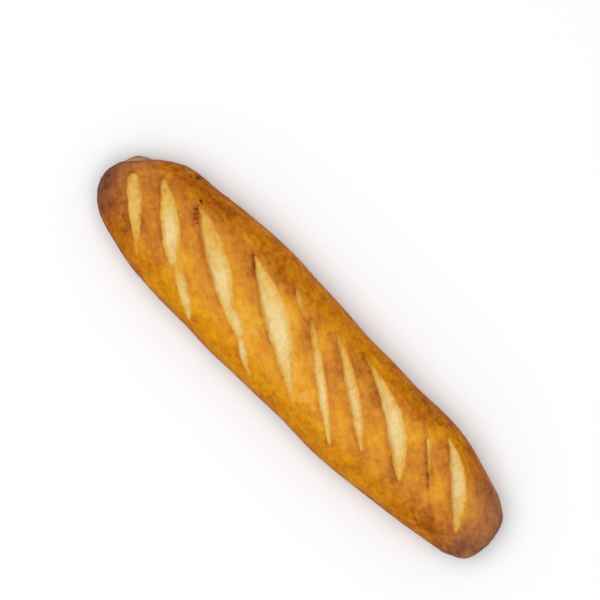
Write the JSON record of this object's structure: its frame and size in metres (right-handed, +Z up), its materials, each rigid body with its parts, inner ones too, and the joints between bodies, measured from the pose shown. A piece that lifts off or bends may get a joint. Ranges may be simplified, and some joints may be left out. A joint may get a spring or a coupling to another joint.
{
  "type": "baguette",
  "caption": "Short, stout baguette with a rounded top, slanting slashes with raised ears and pale hollows, darker blunt ends and a flat baked base.",
  "frame": {"origin": "middle of the loaf's length and width, on the plane of its flat baked base", "axes": "+X along the loaf, towards its blunter end; +Y across it, towards the side where the slashes' raised ears face; +Z up from the base to the slashed top"},
  "size_m": [0.36, 0.0866, 0.0586],
  "materials": {
    "crust": "golden brown baked crust, satin with a faint sheen on the ridges, pale cream and matt in the slashes, dark brown at the ends"
  },
  "bodies": {
    "root": {"loaf": "crust"}
  },
  "joints": []
}
